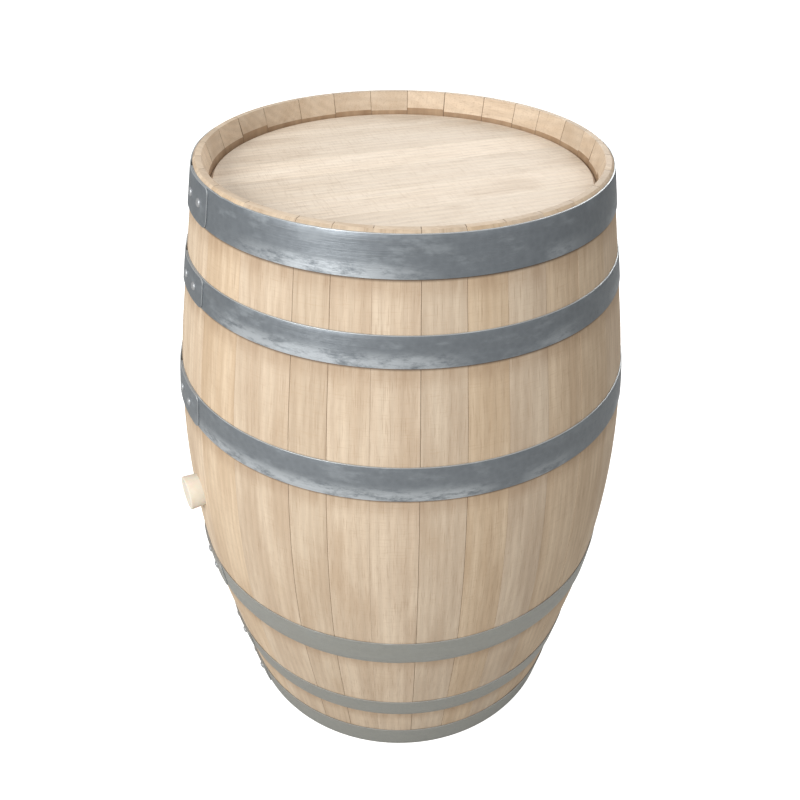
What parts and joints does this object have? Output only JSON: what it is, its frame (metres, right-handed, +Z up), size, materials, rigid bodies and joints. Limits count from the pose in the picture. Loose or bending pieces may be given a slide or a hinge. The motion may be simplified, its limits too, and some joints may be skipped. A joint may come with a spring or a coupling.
{
  "type": "oak barrel",
  "caption": "Standing oak barrel with bulged staves, riveted steel hoops, a recessed head of dowelled boards at each end and a tapered bung in the side.",
  "frame": {"origin": "on the barrel's axis at the floor, in the plane of the lower stave ends", "axes": "+Z up the barrel's axis to the upper head; -X out through the bunghole; +Y completes the right-handed frame"},
  "size_m": [0.7105, 0.6899, 0.95],
  "materials": {
    "stave_oak": "planed raw oak",
    "head_oak": "sanded raw oak",
    "dowel_wood": "turned hardwood",
    "hoop_steel": "galvanised strip, dull with bright spangle",
    "rivet_steel": "galvanised, dull",
    "bung_silicone": "moulded food silicone, satin"
  },
  "bodies": {
    "cask": {"bottom_bilge_hoop": "hoop_steel", "bottom_bilge_hoop_rivets": "rivet_steel", "bottom_head_board_1": "head_oak", "bottom_head_board_2": "head_oak", "bottom_head_board_3": "head_oak", "bottom_head_board_4": "head_oak", "bottom_head_board_5": "head_oak", "bottom_head_board_6": "head_oak", "bottom_head_board_7": "head_oak", "bottom_head_dowels": "dowel_wood", "bottom_head_hoop": "hoop_steel", "bottom_head_hoop_rivets": "rivet_steel", "bottom_quarter_hoop": "hoop_steel", "bottom_quarter_hoop_rivets": "rivet_steel", "bung_stave": "stave_oak", "stave_02": "stave_oak", "stave_03": "stave_oak", "stave_04": "stave_oak", "stave_05": "stave_oak", "stave_06": "stave_oak", "stave_07": "stave_oak", "stave_08": "stave_oak", "stave_09": "stave_oak", "stave_10": "stave_oak", "stave_11": "stave_oak", "stave_12": "stave_oak", "stave_13": "stave_oak", "stave_14": "stave_oak", "stave_15": "stave_oak", "stave_16": "stave_oak", "stave_17": "stave_oak", "stave_18": "stave_oak", "stave_19": "stave_oak", "stave_20": "stave_oak", "stave_21": "stave_oak", "stave_22": "stave_oak", "stave_23": "stave_oak", "stave_24": "stave_oak", "stave_25": "stave_oak", "stave_26": "stave_oak", "stave_27": "stave_oak", "stave_28": "stave_oak", "stave_29": "stave_oak", "stave_30": "stave_oak", "top_bilge_hoop": "hoop_steel", "top_bilge_hoop_rivets": "rivet_steel", "top_head_board_1": "head_oak", "top_head_board_2": "head_oak", "top_head_board_3": "head_oak", "top_head_board_4": "head_oak", "top_head_board_5": "head_oak", "top_head_board_6": "head_oak", "top_head_board_7": "head_oak", "top_head_dowels": "dowel_wood", "top_head_hoop": "hoop_steel", "top_head_hoop_rivets": "rivet_steel", "top_quarter_hoop": "hoop_steel", "top_quarter_hoop_rivets": "rivet_steel"},
    "bung": {"bung": "bung_silicone"}
  },
  "joints": [
    {"name": "bung_pull", "type": "slide", "parent": "cask", "child": "bung", "axis": [-1, 0, 0], "range_m": [0, 0.08]}
  ]
}
